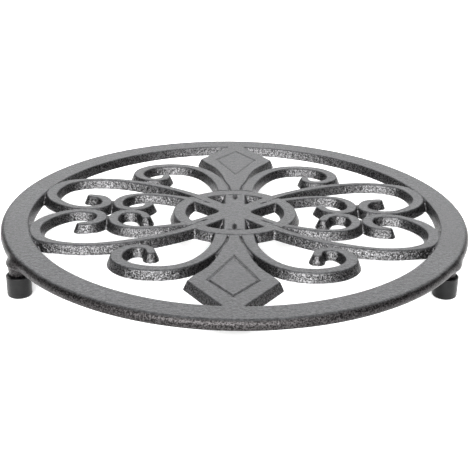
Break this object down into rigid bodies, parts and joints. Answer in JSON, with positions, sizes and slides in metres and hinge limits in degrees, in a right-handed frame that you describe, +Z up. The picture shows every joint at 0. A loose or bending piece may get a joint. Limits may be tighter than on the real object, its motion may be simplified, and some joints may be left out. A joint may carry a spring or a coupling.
{
  "type": "trivet",
  "caption": "Round cast-iron trivet: openwork scroll and fleur pattern inside a flat rim, on short legs with push-on rubber caps.",
  "frame": {"origin": "on the table plane, under the middle of the rim", "axes": "+Z up, out of the pot face; the front of the picture is towards -Y; +X to the viewer's right"},
  "size_m": [0.2, 0.2027, 0.0166],
  "materials": {
    "cast_iron": "satin",
    "rubber": "matte"
  },
  "bodies": {
    "root": {"casting": "cast_iron", "cap_front_left": "rubber", "cap_front_right": "rubber", "cap_back": "rubber"}
  },
  "joints": []
}
